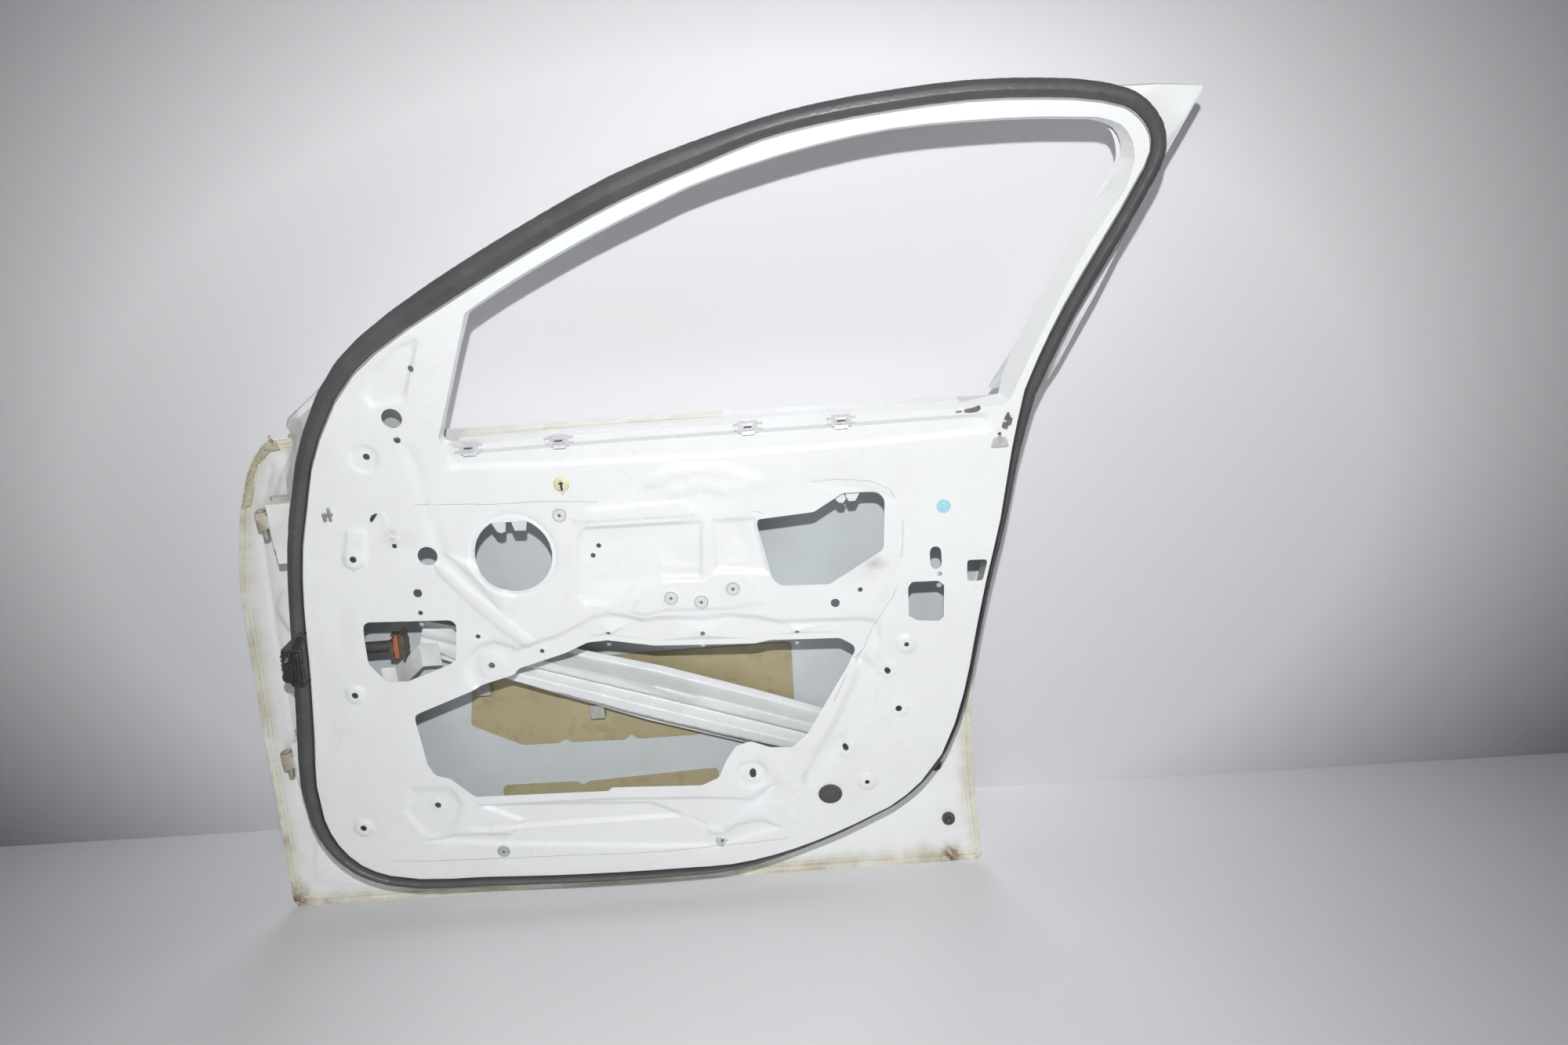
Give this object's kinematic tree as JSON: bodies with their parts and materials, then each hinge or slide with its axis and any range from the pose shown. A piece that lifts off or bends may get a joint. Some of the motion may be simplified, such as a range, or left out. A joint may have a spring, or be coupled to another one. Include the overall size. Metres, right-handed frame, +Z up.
{
  "type": "car door shell",
  "caption": "Bare right-hand front door shell of a passenger car: pressed inner panel with window frame, outer skin, side impact beam, hinges and seal.",
  "frame": {"origin": "centre of the flat front face of the upper hinge's leaf, which is held against the car's front pillar side", "axes": "+X towards the rear of the car, +Y outboard, +Z up"},
  "size_m": [1.3232, 0.2078, 1.0934],
  "materials": {
    "paint": "semi-gloss white primer paint, worn and dirty",
    "rubber": "matt black rubber",
    "pad": "tan sound-damping sheet",
    "foam": "matt grey foam",
    "steel": "dull steel",
    "zinc": "zinc-coated steel",
    "plastic": "matt black plastic",
    "orange": "matt orange plastic",
    "yellow": "matt yellow plastic",
    "blue": "matt blue plastic"
  },
  "bodies": {
    "root": {"outer_panel": "paint", "inner_panel": "paint", "frame_outer": "paint", "waist_rail_inner": "paint", "waist_rail_outer": "paint", "impact_beam": "zinc", "beam_bracket_front": "paint", "beam_bracket_rear": "paint", "hinge_reinforcement": "paint", "latch_reinforcement": "paint", "door_seal": "rubber", "hinge_leaf_upper": "steel", "hinge_leaf_lower": "steel", "hinge_pin_upper": "steel", "hinge_pin_lower": "steel", "hinge_bolt_upper_1": "steel", "hinge_bolt_upper_2": "steel", "hinge_bolt_lower_1": "steel", "hinge_bolt_lower_2": "steel", "damping_pad_main": "pad", "damping_pad_lower": "pad", "foam_block_front": "foam", "foam_block_rear": "foam", "harness_boot": "rubber", "harness_sleeve": "plastic", "connector_flange": "plastic", "connector_lock": "orange", "waist_clip_1": "steel", "waist_clip_2": "steel", "waist_clip_3": "steel", "waist_clip_4": "steel", "grommet_yellow": "yellow", "rivet_nut_1": "zinc", "rivet_nut_2": "zinc", "rivet_nut_3": "zinc", "rivet_nut_4": "zinc", "rivet_nut_5": "zinc", "rivet_nut_6": "zinc", "plug_blue": "blue", "plug_oval": "plastic", "bump_stop_1": "rubber", "bump_stop_2": "rubber", "trim_clip_front": "plastic", "trim_clip_rear": "plastic", "trim_clip_pillar": "plastic", "foam_strip": "foam"}
  },
  "joints": []
}
